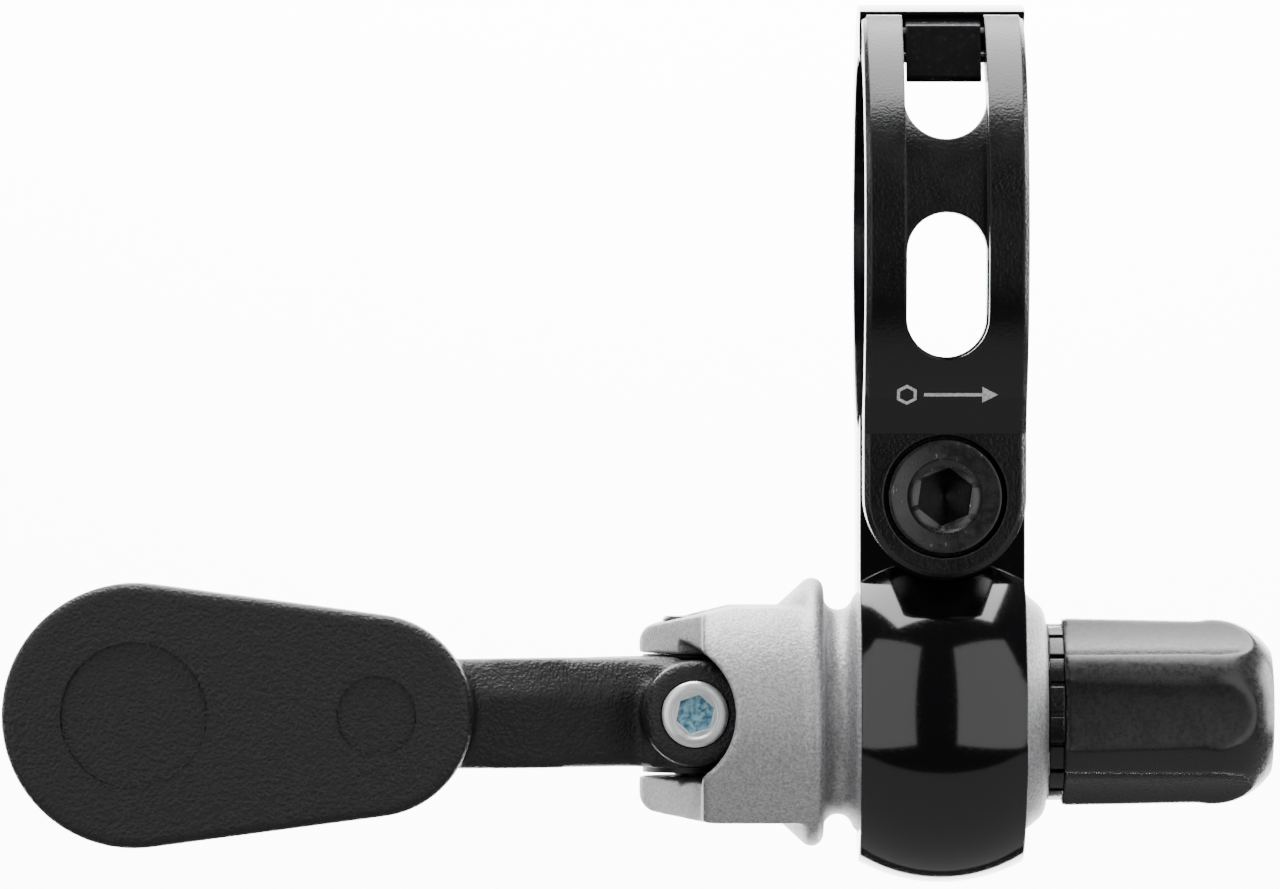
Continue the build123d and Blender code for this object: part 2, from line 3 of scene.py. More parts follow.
import bpy
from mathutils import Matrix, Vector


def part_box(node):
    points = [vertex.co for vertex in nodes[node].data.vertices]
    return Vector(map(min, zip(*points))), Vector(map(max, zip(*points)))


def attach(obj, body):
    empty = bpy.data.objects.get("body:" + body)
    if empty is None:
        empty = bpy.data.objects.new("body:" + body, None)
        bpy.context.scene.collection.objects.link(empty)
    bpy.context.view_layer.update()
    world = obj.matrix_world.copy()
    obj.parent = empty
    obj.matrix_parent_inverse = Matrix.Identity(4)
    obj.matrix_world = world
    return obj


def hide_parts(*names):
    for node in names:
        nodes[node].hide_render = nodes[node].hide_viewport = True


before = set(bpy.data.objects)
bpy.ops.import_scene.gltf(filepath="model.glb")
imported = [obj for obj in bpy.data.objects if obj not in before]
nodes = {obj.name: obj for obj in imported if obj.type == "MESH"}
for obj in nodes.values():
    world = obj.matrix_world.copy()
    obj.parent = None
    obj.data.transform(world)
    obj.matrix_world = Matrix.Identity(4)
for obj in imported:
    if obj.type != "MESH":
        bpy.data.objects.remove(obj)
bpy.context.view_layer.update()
MM = 0.001

# ---------------------------------------------------------------- studio

# A white sweep with a bank of light over it, two tall diffusers in front that leave a dark gap
# between them, weaker light from both sides, from below and on the sweep, and a long lens level
# with the middle of the shifter.


def linear(code):
    """A hex colour as Blender's linear red, green, blue and alpha."""
    parts = [int(code[i:i + 2], 16) / 255 for i in (1, 3, 5)]
    return [c / 12.92 if c <= 0.04045 else ((c + 0.055) / 1.055) ** 2.4 for c in parts] + [1.0]


def material(name, colour, roughness, metallic=0.0, ior=None):
    """A new material with its shader's main constants set. Returns the material and the shader."""
    made = bpy.data.materials.new(name)
    made.use_nodes = True
    shader = made.node_tree.nodes["Principled BSDF"]
    shader.inputs["Base Color"].default_value = linear(colour)
    shader.inputs["Roughness"].default_value = roughness
    shader.inputs["Metallic"].default_value = metallic
    if ior:
        shader.inputs["IOR"].default_value = ior
    return made, shader


def node(owner, kind, links=(), **settings):
    """Adds one node. Settings are inputs by name, or properties; links are (input, socket) pairs."""
    new = owner.node_tree.nodes.new(kind)
    for name, value in settings.items():
        label = name.replace("_", " ")
        if label in new.inputs:
            new.inputs[label].default_value = value
        else:
            setattr(new, name, value)
    for name, source in links:
        owner.node_tree.links.new(source, new.inputs[name])
    return new


def deselect():
    if bpy.context.mode != "OBJECT":
        bpy.ops.object.mode_set(mode="OBJECT")
    bpy.ops.object.select_all(action="DESELECT")


def activate(piece):
    """Makes one piece the only selected and the active one."""
    deselect()
    piece.select_set(True)
    bpy.context.view_layer.objects.active = piece


def finish_with(piece, made):
    """Gives a piece one material."""
    piece.data.materials.clear()
    piece.data.materials.append(made)


def soft_box(name, place, target, size, power):
    """An area light at a place in millimetres, facing a target."""
    lamp = bpy.data.lights.new(name, "AREA")
    lamp.shape = "RECTANGLE"
    lamp.size, lamp.size_y = size[0] * MM, size[1] * MM
    lamp.energy = power
    holder = bpy.data.objects.new(name, lamp)
    bpy.context.collection.objects.link(holder)
    holder.location = [c * MM for c in place]
    away = holder.location - type(holder.location)([c * MM for c in target])
    holder.rotation_euler = away.to_track_quat("Z", "Y").to_euler()
    return holder


# the room is dim, and plain white where nothing stands in front of it
world = bpy.data.worlds.new("studio")
bpy.context.scene.world = world
world.use_nodes = True
room = world.node_tree.nodes["Background"]
room.inputs["Color"].default_value = linear("#ffffff")
rays = node(world, "ShaderNodeLightPath")
strength = node(
    world, "ShaderNodeMapRange", [("Value", rays.outputs["Is Camera Ray"])],
    To_Min=0.05, To_Max=1.1,
)
world.node_tree.links.new(strength.outputs["Result"], room.inputs["Strength"])

deselect()
bpy.ops.mesh.primitive_plane_add(size=1)
sweep = bpy.context.object
sweep.name = "sweep"
bpy.ops.object.mode_set(mode="EDIT")
bpy.ops.transform.resize(value=(1.5, 0.26, 1))
bpy.ops.transform.translate(value=(0, 0.57, -0.3))
bpy.ops.mesh.select_all(action="DESELECT")
bpy.ops.object.mode_set(mode="OBJECT")
for edge in sweep.data.edges:
    edge.select = all(sweep.data.vertices[i].co.y > 0.6 for i in edge.vertices)
bpy.ops.object.mode_set(mode="EDIT")
bpy.ops.mesh.extrude_region_move(TRANSFORM_OT_translate={"value": (0, 0, 0.7)})
bpy.ops.object.mode_set(mode="OBJECT")
fold = sweep.modifiers.new("fold", "BEVEL")
fold.width, fold.segments, fold.limit_method = 0.12, 12, "NONE"
bpy.ops.object.modifier_apply(modifier="fold")
bpy.ops.object.shade_smooth()
paper = material("backdrop_paper", "#ffffff", 0.9)[0]
finish_with(sweep, paper)

soft_box("diffuser_left", (-270, -322, 115), (0, 0, 115), (340, 620), 1.0)
soft_box("diffuser_right", (235, -348, 115), (0, 0, 115), (374, 620), 1.1)
soft_box("overhead", (-20, 80, 380), (-10, 0, -20), (500, 540), 8.0)
soft_box("side_left", (-420, 160, 50), (0, 0, 0), (260, 320), 0.9)
soft_box("side_right", (420, 160, 50), (0, 0, 0), (260, 320), 3.2)
soft_box("fill_low", (0, -30, -300), (0, -30, 0), (1200, 590), 0.9)
soft_box("back_wash", (0, 230, 300), (0, 660, 30), (600, 200), 50.0)

view_x, view_z, view_distance = -17.85, -12.0, 520
lens = bpy.data.cameras.new("camera")
lens.sensor_width = 36
lens.lens = 245.7
lens.clip_start = 0.01
camera = bpy.data.objects.new("camera", lens)
bpy.context.collection.objects.link(camera)
camera.location = (view_x * MM, -view_distance * MM, view_z * MM)
camera.rotation_euler = (math.radians(90), 0, 0)
bpy.context.scene.camera = camera

# ---------------------------------------------------------------- clamp frame

# The rear half of the bar clamp and the split socket are one block of aluminium, turned and
# milled, then polished and anodised a deep glossy black. The milled edges are just broken.

gloss, gloss_shader = material("anodised_aluminium_gloss_black", "#08080a", 0.1, ior=1.6)
place = node(gloss, "ShaderNodeTexCoord").outputs["Object"]
# polishing leaves a faint orange-peel wave about 1.5 mm across, and fine dust dulls it in spots
wave = node(gloss, "ShaderNodeTexNoise", [("Vector", place)], Scale=1 / (1.5 * MM), Detail=2.0)
dust = node(gloss, "ShaderNodeTexNoise", [("Vector", place)], Scale=1 / (0.25 * MM), Detail=3.0)
dulled = node(
    gloss, "ShaderNodeMapRange", [("Value", dust.outputs["Fac"])],
    From_Min=0.55, From_Max=0.8, To_Min=0.09, To_Max=0.16,
)
gloss.node_tree.links.new(dulled.outputs["Result"], gloss_shader.inputs["Roughness"])
broken = node(gloss, "ShaderNodeBevel", Radius=0.14 * MM, samples=6)
bumped = node(
    gloss, "ShaderNodeBump", [("Height", wave.outputs["Fac"]), ("Normal", broken.outputs["Normal"])],
    Strength=0.25, Distance=0.006 * MM,
)
gloss.node_tree.links.new(bumped.outputs["Normal"], gloss_shader.inputs["Normal"])
finish_with(nodes["clamp_frame"], gloss)

# ---------------------------------------------------------------- front strap

# The strap is the front half of the clamp: milled aluminium, bead blasted before it was anodised
# black, so its flats are satin with a fine grain that glitters where the light rakes it.

satin, satin_shader = material("anodised_aluminium_satin_black", "#060607", 0.24, ior=1.55)
place = node(satin, "ShaderNodeTexCoord").outputs["Object"]
# the blasted grain is about 0.05 mm across, drawn at 0.16 mm so that it shows
grain = node(satin, "ShaderNodeTexNoise", [("Vector", place)], Scale=1 / (0.16 * MM), Detail=2.0)
handled = node(satin, "ShaderNodeTexNoise", [("Vector", place)], Scale=1 / (3 * MM), Detail=3.0)
sheen = node(
    satin, "ShaderNodeMapRange", [("Value", handled.outputs["Fac"])],
    From_Min=0.3, From_Max=0.7, To_Min=0.2, To_Max=0.28,
)
satin.node_tree.links.new(sheen.outputs["Result"], satin_shader.inputs["Roughness"])
broken = node(satin, "ShaderNodeBevel", Radius=0.16 * MM, samples=6)
bumped = node(
    satin, "ShaderNodeBump",
    [("Height", grain.outputs["Fac"]), ("Normal", broken.outputs["Normal"])],
    Strength=0.8, Distance=0.022 * MM,
)
satin.node_tree.links.new(bumped.outputs["Normal"], satin_shader.inputs["Normal"])
finish_with(nodes["front_strap"], satin)

# above the bolt, where the round runs into the flat, a hexagon and an arrow are pad printed in white


def add_mesh(operator, name, **settings):
    """Starts a piece from a primitive with nothing else selected."""
    deselect()
    operator(**settings)
    made = bpy.context.object
    made.name = name
    return made


def settle(piece):
    """Puts a piece's place, turn and size into its mesh."""
    activate(piece)
    bpy.ops.object.transform_apply(location=True, rotation=True, scale=True)


def apply_modifier(piece, kind, **settings):
    """Adds one modifier with its settings and applies it."""
    activate(piece)
    made = piece.modifiers.new("step", kind)
    for name, value in settings.items():
        setattr(made, name, value)
    bpy.ops.object.modifier_apply(modifier=made.name)


def join(first, *others):
    """Joins pieces into the first one."""
    deselect()
    for other in others:
        other.select_set(True)
    first.select_set(True)
    bpy.context.view_layer.objects.active = first
    bpy.ops.object.join()
    return first


# ends, as (y, z), of the line from the ring's round down to the lug; the mark leans with it
facet_top, facet_low = (-13.48, -4.3), (-9.5, -11.4)
mark_z = -9.1
standoff = 1    # how far in front of that line the mark starts
mark_share = (mark_z - facet_low[1]) / (facet_top[1] - facet_low[1])
mark_y = facet_low[0] + (facet_top[0] - facet_low[0]) * mark_share
lean = math.atan2(facet_top[1] - facet_low[1], facet_top[0] - facet_low[0])
mark = add_mesh(
    bpy.ops.mesh.primitive_circle_add, "tighten_mark", vertices=6, radius=0.66 * MM,
    fill_type="NGON", location=(-2.3 * MM, 0, 0),
)
bpy.ops.object.mode_set(mode="EDIT")
bpy.ops.mesh.inset(thickness=0.17 * MM)
bpy.ops.mesh.delete(type="FACE")
bpy.ops.object.mode_set(mode="OBJECT")
bar = add_mesh(bpy.ops.mesh.primitive_plane_add, "bar", size=MM, location=(0.45 * MM, 0, 0))
bar.scale = (3.5, 0.2, 1)
point = add_mesh(
    bpy.ops.mesh.primitive_circle_add, "point", vertices=3, radius=0.6 * MM, fill_type="NGON",
    location=(2.4 * MM, 0, 0), rotation=(0, 0, -math.pi / 2),
)
for part in (mark, bar, point):
    settle(part)
mark = join(mark, bar, point)
mark.rotation_euler = (lean, 0, 0)
mark.location = (0, (mark_y - standoff) * MM, mark_z * MM)
settle(mark)
# the surface under the mark is part round and part flat, so the ink is laid on from the front
apply_modifier(
    mark, "SHRINKWRAP", target=nodes["front_strap"], wrap_method="PROJECT", use_project_y=True,
    use_positive_direction=True, use_negative_direction=False, offset=0.03 * MM,
)
apply_modifier(mark, "SOLIDIFY", thickness=0.03 * MM, offset=0)
ink, ink_shader = material("pad_print_white", "#d4d4d2", 0.6)
place = node(ink, "ShaderNodeTexCoord").outputs["Object"]
# the ink lies thin over the blasted grain, so it is mottled about every 0.15 mm
thin = node(ink, "ShaderNodeTexNoise", [("Vector", place)], Scale=1 / (0.15 * MM), Detail=2.0)
ink_ramp = node(ink, "ShaderNodeValToRGB", [("Fac", thin.outputs["Fac"])])
ink_ramp.color_ramp.elements[0].position = 0.3
ink_ramp.color_ramp.elements[0].color = linear("#b4b4b2")
ink_ramp.color_ramp.elements[1].position = 0.6
ink_ramp.color_ramp.elements[1].color = linear("#e4e4e2")
ink.node_tree.links.new(ink_ramp.outputs["Color"], ink_shader.inputs["Base Color"])
finish_with(mark, ink)
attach(mark, "strap")

# ---------------------------------------------------------------- clamp bolt

# A class 12.9 socket head cap screw, cold headed, with a rolled thread and a black oxide finish.
# The head is dished round its 3 mm hexagon, and tools have rubbed its edges back to grey steel.


def cut(piece, tool, operation="DIFFERENCE"):
    """Cuts a closed tool from a piece, or adds it, and removes the tool."""
    settle(tool)
    apply_modifier(piece, "BOOLEAN", operation=operation, object=tool, solver="MANIFOLD")
    bpy.data.objects.remove(tool)


def rod(name, place, radius, length, axis="Z", sides=96):
    """A closed cylinder, in millimetres, centred at a place and lying along one axis."""
    turn = {"X": (0, math.pi / 2, 0), "Y": (math.pi / 2, 0, 0), "Z": (0, 0, 0)}[axis]
    made = add_mesh(
        bpy.ops.mesh.primitive_cylinder_add, name, vertices=sides, radius=radius * MM,
        depth=length * MM, location=[c * MM for c in place], rotation=turn,
    )
    settle(made)
    return made


def smooth_by_angle(piece, degrees):
    """Shades a piece smooth except over edges sharper than an angle."""
    activate(piece)
    bpy.ops.object.shade_smooth_by_angle(angle=math.radians(degrees))


def select_faces(piece, wanted):
    """Selects the faces whose middle (mm) and normal pass a test, and opens edit mode on them."""
    activate(piece)
    bpy.ops.object.mode_set(mode="EDIT")
    bpy.ops.mesh.select_mode(type="FACE")
    bpy.ops.mesh.select_all(action="DESELECT")
    bpy.ops.object.mode_set(mode="OBJECT")
    for face in piece.data.polygons:
        face.select = wanted([c / MM for c in face.center], face.normal)
    bpy.ops.object.mode_set(mode="EDIT")


def step_in(*rings):
    """Insets the open face ring by ring: each is a width and a rise, in millimetres."""
    for width, rise in rings:
        bpy.ops.mesh.inset(thickness=width * MM, depth=rise * MM)
    bpy.ops.object.mode_set(mode="OBJECT")


def hexagon(name, place, across, length, turn):
    """A closed six-sided bar along Y, sized across its flats and turned about its axis."""
    made = add_mesh(
        bpy.ops.mesh.primitive_cylinder_add, name, vertices=6, depth=length * MM,
        radius=across / math.sqrt(3) * MM, location=[c * MM for c in place],
        rotation=(math.pi / 2, math.radians(turn), 0),
    )
    settle(made)
    return made


bolt_low, bolt_high = [[c / MM for c in corner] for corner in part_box("clamp_bolt")]
bolt_x = (bolt_low[0] + bolt_high[0]) / 2
bolt_z = (bolt_low[2] + bolt_high[2]) / 2
head_r = (bolt_high[0] - bolt_low[0]) / 2
head_height = 2.9
bolt = rod(
    "clamp_bolt_head", (bolt_x, bolt_low[1] + head_height / 2, bolt_z), head_r, head_height, "Y",
    128,
)
select_faces(bolt, lambda middle, normal: normal.y < -0.9)
step_in((0.22, 0.0), (0.25, -0.05), (0.6, 0.0), (0.08, -0.12), (0.5, -0.24))
cut(bolt, hexagon("hex_socket", (bolt_x, bolt_low[1] + 0.7, bolt_z), 3.0, 3.0, 8))
apply_modifier(
    bolt, "BEVEL", width=0.09 * MM, segments=3, limit_method="ANGLE",
    angle_limit=math.radians(40),
)
centre_mark = add_mesh(
    bpy.ops.mesh.primitive_cone_add, "centre_mark", vertices=64, radius1=1.35 * MM,
    radius2=0.2 * MM, depth=0.55 * MM, rotation=(-math.pi / 2, 0, 0),
    location=(bolt_x * MM, (bolt_low[1] + 2.4) * MM, bolt_z * MM),
)
cut(bolt, centre_mark)
smooth_by_angle(bolt, 35)

oxide, oxide_shader = material("black_oxide_steel", "#4c4c4c", 0.3, metallic=0.9)
place = node(oxide, "ShaderNodeTexCoord").outputs["Object"]
# scratches about 0.08 mm wide and 0.6 mm long, and worn flecks where tools have slipped
stretched = node(
    oxide, "ShaderNodeMapping", [("Vector", place)],
    Scale=(1.0, 1.0, 0.2), Rotation=(0.0, math.radians(35), 0.0),
)
scratch = node(
    oxide, "ShaderNodeTexNoise", [("Vector", stretched.outputs["Vector"])],
    Scale=1 / (0.09 * MM), Detail=3.0,
)
fleck = node(oxide, "ShaderNodeTexNoise", [("Vector", place)], Scale=1 / (0.5 * MM), Detail=5.0)
worn = node(
    oxide, "ShaderNodeMath", [(0, scratch.outputs["Fac"]), (1, fleck.outputs["Fac"])],
    operation="MULTIPLY",
)
shade = node(oxide, "ShaderNodeValToRGB", [("Fac", worn.outputs["Value"])])
shade.color_ramp.elements[0].position, shade.color_ramp.elements[0].color = 0.38, linear("#4a4a4a")
shade.color_ramp.elements[1].position, shade.color_ramp.elements[1].color = 0.47, linear("#a2a2a2")
# painted shade: the colour darkens with distance behind the face of the bolt's head, to 0.12 of it
# by 1.2 mm back, so the floor of its hexagon, and the hinge pin and the axle, which have the same
# finish, are painted darker
shade_start_depth, shade_full_depth = 0.7, 1.2
depth = node(oxide, "ShaderNodeSeparateXYZ", [("Vector", place)])
painted_depth_shade = node(
    oxide, "ShaderNodeMapRange", [("Value", depth.outputs["Y"])],
    From_Min=(bolt_low[1] + shade_start_depth) * MM, From_Max=(bolt_low[1] + shade_full_depth) * MM,
    To_Min=1.0, To_Max=0.12,
)
depth_shaded_oxide = node(
    oxide, "ShaderNodeVectorMath",
    [("Vector", shade.outputs["Color"]), ("Scale", painted_depth_shade.outputs["Result"])], operation="SCALE",
)
oxide.node_tree.links.new(depth_shaded_oxide.outputs["Vector"], oxide_shader.inputs["Base Color"])
dull = node(
    oxide, "ShaderNodeMapRange", [("Value", fleck.outputs["Fac"])],
    From_Min=0.3, From_Max=0.7, To_Min=0.22, To_Max=0.36,
)
oxide.node_tree.links.new(dull.outputs["Result"], oxide_shader.inputs["Roughness"])
pitted = node(
    oxide, "ShaderNodeBump", [("Height", scratch.outputs["Fac"])],
    Strength=0.3, Distance=0.006 * MM,
)
oxide.node_tree.links.new(pitted.outputs["Normal"], oxide_shader.inputs["Normal"])
finish_with(bolt, oxide)

# the threaded shank, with its 0.7 mm thread as a row of grooves
shank_length = bolt_high[1] - bolt_low[1] - head_height
shank = rod(
    "clamp_bolt_shank", (bolt_x, bolt_high[1] - shank_length / 2, bolt_z), 2.0, shank_length, "Y", 64
)
thread, thread_shader = material("black_oxide_thread", "#1f1f21", 0.4, metallic=0.75)
place = node(thread, "ShaderNodeTexCoord").outputs["Object"]
grooves = node(
    thread, "ShaderNodeTexWave", [("Vector", place)], bands_direction="Y",
    Scale=2 * math.pi / (20 * 0.7 * MM),
)
cut_thread = node(
    thread, "ShaderNodeBump", [("Height", grooves.outputs["Fac"])],
    Strength=1.0, Distance=0.35 * MM,
)
thread.node_tree.links.new(cut_thread.outputs["Normal"], thread_shader.inputs["Normal"])
smooth_by_angle(shank, 35)
finish_with(shank, thread)
for piece in (bolt, shank):
    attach(piece, "bolt")
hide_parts("clamp_bolt")

# ---------------------------------------------------------------- hinge pin and pivot axle

# Two steel pins with the same oxide finish: a plain one pressed through the strap's knuckles,
# and the lever's axle, which screws into the yoke's lower ear and turns on a 2 mm hexagon.

# the oxide's painted shade makes both pins darker, as they lie well behind the bolt's head
finish_with(nodes["hinge_pin"], oxide)
finish_with(nodes["pivot_axle"], oxide)

# ---------------------------------------------------------------- ball and yoke

# Ball, neck, flange and yoke are one aluminium forging, machined where it turns and takes its
# threads, then bead blasted and anodised grey. Blasting leaves every edge soft and the skin
# covered in fine craters, so it looks light and even, with no mirror in it.


def soften(piece, wanted, rounds):
    """Smooths the vertices that a test picks, given in millimetres."""
    activate(piece)
    bpy.ops.object.mode_set(mode="EDIT")
    bpy.ops.mesh.select_mode(type="VERT")
    bpy.ops.mesh.select_all(action="DESELECT")
    bpy.ops.object.mode_set(mode="OBJECT")
    for corner in piece.data.vertices:
        corner.select = wanted(*[c / MM for c in corner.co])
    bpy.ops.object.mode_set(mode="EDIT")
    bpy.ops.mesh.vertices_smooth(factor=0.5, repeat=rounds)
    bpy.ops.object.mode_set(mode="OBJECT")


def softened_copy(name, source, voxel, wanted, rounds):
    """A copy of a CAD node's mesh, merged, rebuilt in small cells and smoothed."""
    made = source.copy()
    made.data = source.data.copy()
    made.name = name
    bpy.context.collection.objects.link(made)
    activate(made)
    bpy.ops.object.mode_set(mode="EDIT")
    bpy.ops.mesh.select_all(action="SELECT")
    bpy.ops.mesh.remove_doubles(threshold=0.001 * MM)
    bpy.ops.object.mode_set(mode="OBJECT")
    apply_modifier(made, "REMESH", mode="VOXEL", voxel_size=voxel * MM, adaptivity=0)
    soften(made, wanted, rounds)
    smooth_by_angle(made, 50)
    return made


yoke = softened_copy("ball_and_yoke", nodes["ball_yoke"], 0.15, lambda x, y, z: True, 5)
grey, grey_shader = material("anodised_aluminium_blasted_grey", "#b4b4b6", 0.5, metallic=0.8)
place = node(grey, "ShaderNodeTexCoord").outputs["Object"]
# the blasted craters are 0.1 to 0.2 mm across
crater = node(grey, "ShaderNodeTexNoise", [("Vector", place)], Scale=1 / (0.17 * MM), Detail=2.5)
patch = node(grey, "ShaderNodeTexNoise", [("Vector", place)], Scale=1 / (2.5 * MM), Detail=4.0)
tint = node(grey, "ShaderNodeValToRGB", [("Fac", crater.outputs["Fac"])])
tint.color_ramp.elements[0].position, tint.color_ramp.elements[0].color = 0.3, linear("#a2a2a4")
tint.color_ramp.elements[1].position, tint.color_ramp.elements[1].color = 0.7, linear("#d2d2d4")
# painted shade: the ears beside the hub, left of x = -14.3 mm, are painted darker than the body, at
# 0.45 of its colour
along = node(grey, "ShaderNodeSeparateXYZ", [("Vector", place)])
ear_shade = node(
    grey, "ShaderNodeMapRange", [("Value", along.outputs["X"])],
    From_Min=-14.3 * MM, From_Max=-13.7 * MM, To_Min=0.45, To_Max=1.0,
)
ear_painted_shade = node(
    grey, "ShaderNodeVectorMath",
    [("Vector", tint.outputs["Color"]), ("Scale", ear_shade.outputs["Result"])], operation="SCALE",
)
grey.node_tree.links.new(ear_painted_shade.outputs["Vector"], grey_shader.inputs["Base Color"])
uneven = node(
    grey, "ShaderNodeMapRange", [("Value", patch.outputs["Fac"])],
    From_Min=0.3, From_Max=0.7, To_Min=0.46, To_Max=0.56,
)
grey.node_tree.links.new(uneven.outputs["Result"], grey_shader.inputs["Roughness"])
blasted = node(
    grey, "ShaderNodeBump", [("Height", crater.outputs["Fac"])],
    Strength=0.8, Distance=0.05 * MM,
)
grey.node_tree.links.new(blasted.outputs["Normal"], grey_shader.inputs["Normal"])
finish_with(yoke, grey)
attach(yoke, "yoke")
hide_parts("ball_yoke")

# ---------------------------------------------------------------- bushes

# Two flanged bushes turned from black acetal rod hold the lever off the yoke's ears. The plastic
# is waxy, with fine turning rings.

cable_z = -27.9
pivot = (-14.3, 5.2, cable_z)
acetal, acetal_shader = material("acetal_black", "#0f0f10", 0.38, ior=1.48)
place = node(acetal, "ShaderNodeTexCoord").outputs["Object"]
centred = node(
    acetal, "ShaderNodeMapping", [("Vector", place)],
    Location=(-pivot[0] * MM, -pivot[1] * MM, 0),
)
turned = node(
    acetal, "ShaderNodeTexWave", [("Vector", centred.outputs["Vector"])],
    wave_type="RINGS", rings_direction="Z", Scale=2 * math.pi / (20 * 0.12 * MM), Distortion=0.4,
)
ringed = node(
    acetal, "ShaderNodeBump", [("Height", turned.outputs["Fac"])],
    Strength=0.3, Distance=0.01 * MM,
)
acetal.node_tree.links.new(ringed.outputs["Normal"], acetal_shader.inputs["Normal"])
finish_with(nodes["upper_bush"], acetal)
finish_with(nodes["lower_bush"], acetal)

# ---------------------------------------------------------------- thumb lever

# The lever is forged aluminium with a fine textured powder coat: paddle, arm, cable boss and
# hub are one piece, so every joint between them runs through a soft fillet. The two shallow
# dishes, the bores and the hub's faces are cut after forging and keep a crisper edge.

boss_x = -14.6

# paddle: two discs wrapped together, then a rounded rim
paddle_y, paddle_thickness = -6.95, 3.3
pad_x, pad_r = -47.5, 7.78
root_x, root_r = -33.6, 5.95
lever = rod("thumb_lever", (pad_x, paddle_y, cable_z), pad_r, paddle_thickness, "Y", 128)
root = rod("paddle_root", (root_x, paddle_y, cable_z), root_r, paddle_thickness, "Y", 128)
lever = join(lever, root)
bpy.ops.object.mode_set(mode="EDIT")
bpy.ops.mesh.select_all(action="SELECT")
bpy.ops.mesh.convex_hull()
bpy.ops.mesh.dissolve_limited(angle_limit=math.radians(0.5))
bpy.ops.object.mode_set(mode="OBJECT")
apply_modifier(
    lever, "BEVEL", width=0.45 * MM, segments=5, limit_method="ANGLE",
    angle_limit=math.radians(60), profile=0.5,
)

# arm: a five-sided bar drawn out through stations, each its x and the y of its front and back,
# with a ridge along its front
stations = [
    (-35.5, -7.2, -5.6), (-33.0, -6.9, -5.2), (-28.5, -6.3, -3.3), (-24.0, -4.9, -1.1),
    (-20.5, -3.3, 1.6), (-17.6, -2.2, 4.4), (-15.5, -2.0, 6.0),
]
arm_half, ridge_z = 3.25, 1.1
arm = add_mesh(bpy.ops.mesh.primitive_circle_add, "arm", vertices=5, radius=MM, fill_type="NGON")


def station_points(face_y, back_y):
    """The corners of the arm's section, as (y, z) about the cable's line."""
    return [
        (face_y, ridge_z), (face_y + 0.85, arm_half), (back_y, arm_half), (back_y, -arm_half),
        (face_y + 1.15, -arm_half),
    ]


bpy.ops.object.mode_set(mode="EDIT")
for _ in stations[1:]:
    bpy.ops.mesh.extrude_region_move(TRANSFORM_OT_translate={"value": (0, 0, 0.001)})
bpy.ops.object.mode_set(mode="OBJECT")
for corner in arm.data.vertices:
    x, face_y, back_y = stations[corner.index // 5]
    y, z = station_points(face_y, back_y)[corner.index % 5]
    corner.co = (x * MM, y * MM, (z + cable_z) * MM)
activate(arm)
bpy.ops.object.mode_set(mode="EDIT")
bpy.ops.mesh.select_all(action="SELECT")
bpy.ops.mesh.normals_make_consistent(inside=False)
bpy.ops.object.mode_set(mode="OBJECT")

# hub and boss, then everything is forged into one skin
hub_top, hub_low = 2.95, -3.3
hub_middle, hub_height = cable_z - 0.175, 6.25
hub = rod("hub", (pivot[0], pivot[1], hub_middle), 3.2, hub_height, "Z", 96)
boss = rod("boss", (boss_x, -1.5, cable_z), 3.12, 7.4, "Y", 96)
block = add_mesh(
    bpy.ops.mesh.primitive_cube_add, "block", size=1,
    location=(boss_x * MM, 1.6 * MM, hub_middle * MM),
    scale=(6.2 * MM, 7.0 * MM, hub_height * MM),
)
settle(block)
lever = join(lever, arm, hub, boss, block)
apply_modifier(lever, "REMESH", mode="VOXEL", voxel_size=0.17 * MM, adaptivity=0)

soften(lever, lambda x, y, z: True, 3)
soften(lever, lambda x, y, z: x > -27, 9)
soften(lever, lambda x, y, z: -34.5 < x < -26.5 and y > -7.6, 30)
soften(lever, lambda x, y, z: -22.5 < x < -17.2 and y < 1.0, 35)

# dishes in the paddle, the hub's turned faces, and the three bores
dish_y, dish_height = -9.05, 1.4
cut(lever, rod("dish", (pad_x, dish_y, cable_z), 4.32, dish_height, "Y", 160))
cut(lever, rod("small_dish", (-33.3, dish_y, cable_z), 2.35, dish_height, "Y", 128))
facing = 3.0    # height of the cutters that face the hub
for name, face_z in (
    ("top_face", cable_z + hub_top + facing / 2), ("low_face", cable_z + hub_low - facing / 2),
):
    cut(lever, rod(name, (pivot[0], pivot[1], face_z), 3.7, facing, "Z", 128))
cut(lever, rod("bush_bore", pivot, 2.0, 12, "Z", 96))
cut(lever, rod("pinch_bore", (boss_x, -5.9, cable_z), 2.04, 10, "Y", 96))
cut(lever, rod("cable_bore", (boss_x, 0, cable_z), 0.9, 9, "X", 64))
smooth_by_angle(lever, 42)

coat, coat_shader = material("powder_coat_textured_black", "#0d0d0e", 0.46)
place = node(coat, "ShaderNodeTexCoord").outputs["Object"]
# the coat flows into pebbles about 0.22 mm across, like fine leather
pebble = node(
    coat, "ShaderNodeTexVoronoi", [("Vector", place)], feature="SMOOTH_F1",
    Scale=1 / (0.22 * MM), Smoothness=0.5,
)
drift = node(coat, "ShaderNodeTexNoise", [("Vector", place)], Scale=1 / (0.13 * MM), Detail=1.0)
skin = node(
    coat, "ShaderNodeMath", [(0, pebble.outputs["Distance"]), (1, drift.outputs["Fac"])],
    operation="ADD",
)
patch = node(coat, "ShaderNodeTexNoise", [("Vector", place)], Scale=1 / (4 * MM), Detail=3.0)
uneven = node(
    coat, "ShaderNodeMapRange", [("Value", patch.outputs["Fac"])],
    From_Min=0.3, From_Max=0.7, To_Min=0.42, To_Max=0.52,
)
coat.node_tree.links.new(uneven.outputs["Result"], coat_shader.inputs["Roughness"])
flowed = node(
    coat, "ShaderNodeBump", [("Height", skin.outputs["Value"])],
    Strength=1.0, Distance=0.05 * MM,
)
coat.node_tree.links.new(flowed.outputs["Normal"], coat_shader.inputs["Normal"])
finish_with(lever, coat)
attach(lever, "thumb_lever")
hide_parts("lever")

# ---------------------------------------------------------------- pinch screw

